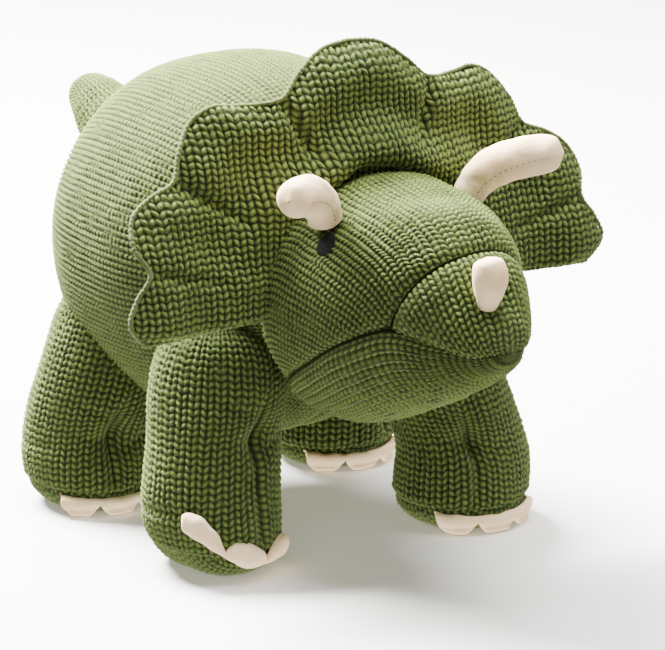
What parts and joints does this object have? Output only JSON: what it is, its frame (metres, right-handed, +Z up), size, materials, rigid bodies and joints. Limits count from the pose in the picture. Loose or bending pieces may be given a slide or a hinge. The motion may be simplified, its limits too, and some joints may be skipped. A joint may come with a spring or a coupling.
{
  "type": "stuffed dinosaur",
  "caption": "Knitted green stuffed dinosaur with a scalloped neck frill, soft peach horns and peach toe scallops, standing on stubby padded legs.",
  "frame": {"origin": "on the floor, under the middle of the bounding box", "axes": "+Z up; +Y towards the tail, so the toy faces -Y; +X towards the toy's left"},
  "size_m": [0.1992, 0.3039, 0.1878],
  "materials": {
    "knit_green": "knitted wool-mix yarn, matte",
    "felt_peach": "brushed fleece, matte",
    "black_thread": "satin-stitched thread",
    "stuffing": "soft polyester fibre, hidden"
  },
  "bodies": {
    "torso": {"body_cover": "knit_green", "body_stuffing": "stuffing"},
    "neck": {"neck_stuffing": "stuffing"},
    "head": {"head_crown_cover": "knit_green", "head_snout_cover": "knit_green", "head_jaw_cover": "knit_green", "head_stuffing": "stuffing", "eye_right": "black_thread", "eye_left": "black_thread"},
    "frill": {"frill_front_cover": "knit_green", "frill_back_cover": "knit_green", "frill_padding": "stuffing"},
    "nose_horn": {"nose_horn_cover": "felt_peach", "nose_horn_stuffing": "stuffing"},
    "brow_horn_right": {"brow_horn_right_cover": "felt_peach", "brow_horn_right_stuffing": "stuffing"},
    "brow_horn_left": {"brow_horn_left_cover": "felt_peach", "brow_horn_left_stuffing": "stuffing"},
    "tail": {"tail_cover": "knit_green", "tail_stuffing": "stuffing"},
    "leg_front_right": {"leg_front_right_cover": "knit_green", "leg_front_right_stuffing": "stuffing", "leg_front_right_sole": "knit_green", "leg_front_right_claws": "felt_peach"},
    "leg_front_left": {"leg_front_left_cover": "knit_green", "leg_front_left_stuffing": "stuffing", "leg_front_left_sole": "knit_green", "leg_front_left_claws": "felt_peach"},
    "leg_rear_right": {"leg_rear_right_cover": "knit_green", "leg_rear_right_stuffing": "stuffing", "leg_rear_right_sole": "knit_green", "leg_rear_right_claws": "felt_peach"},
    "leg_rear_left": {"leg_rear_left_cover": "knit_green", "leg_rear_left_stuffing": "stuffing", "leg_rear_left_sole": "knit_green", "leg_rear_left_claws": "felt_peach"}
  },
  "joints": [
    {"name": "head_turn", "type": "hinge", "parent": "torso", "child": "neck", "pos_m": [0, -0.045, 0.101], "axis": [0, 0, 1], "range_deg": [-8, 8], "stiffness_Nm_per_rad": 1.2},
    {"name": "head_nod", "type": "hinge", "parent": "neck", "child": "head", "pos_m": [0, -0.045, 0.101], "axis": [1, 0, 0], "range_deg": [-5, 5], "stiffness_Nm_per_rad": 1.6},
    {"name": "frill_flex", "type": "hinge", "parent": "head", "child": "frill", "pos_m": [0, -0.065, 0.098], "axis": [1, 0, 0], "range_deg": [-6, 6], "stiffness_Nm_per_rad": 0.5},
    {"name": "nose_horn_bend", "type": "hinge", "parent": "head", "child": "nose_horn", "pos_m": [-0.003, -0.1428, 0.113], "axis": [1, 0, 0], "range_deg": [-7, 7], "stiffness_Nm_per_rad": 0.05},
    {"name": "brow_horn_right_bend", "type": "hinge", "parent": "head", "child": "brow_horn_right", "pos_m": [-0.031, -0.082, 0.13057], "axis": [1, 0, 0], "range_deg": [-10, 10], "stiffness_Nm_per_rad": 0.05},
    {"name": "brow_horn_left_bend", "type": "hinge", "parent": "head", "child": "brow_horn_left", "pos_m": [0.031, -0.082, 0.13243], "axis": [1, 0, 0], "range_deg": [-10, 10], "stiffness_Nm_per_rad": 0.05},
    {"name": "tail_wag", "type": "hinge", "parent": "torso", "child": "tail", "pos_m": [0, 0.094, 0.114], "axis": [0, 0, 1], "range_deg": [-15, 15], "stiffness_Nm_per_rad": 0.15},
    {"name": "leg_front_right_swing", "type": "hinge", "parent": "torso", "child": "leg_front_right", "pos_m": [-0.049, -0.033, 0.06], "axis": [1, 0, 0], "range_deg": [-15, 15], "stiffness_Nm_per_rad": 2},
    {"name": "leg_front_left_swing", "type": "hinge", "parent": "torso", "child": "leg_front_left", "pos_m": [0.049, -0.033, 0.06], "axis": [1, 0, 0], "range_deg": [-15, 15], "stiffness_Nm_per_rad": 2},
    {"name": "leg_rear_right_swing", "type": "hinge", "parent": "torso", "child": "leg_rear_right", "pos_m": [-0.049, 0.047, 0.06], "axis": [1, 0, 0], "range_deg": [-15, 15], "stiffness_Nm_per_rad": 2},
    {"name": "leg_rear_left_swing", "type": "hinge", "parent": "torso", "child": "leg_rear_left", "pos_m": [0.049, 0.047, 0.06], "axis": [1, 0, 0], "range_deg": [-15, 15], "stiffness_Nm_per_rad": 2}
  ]
}
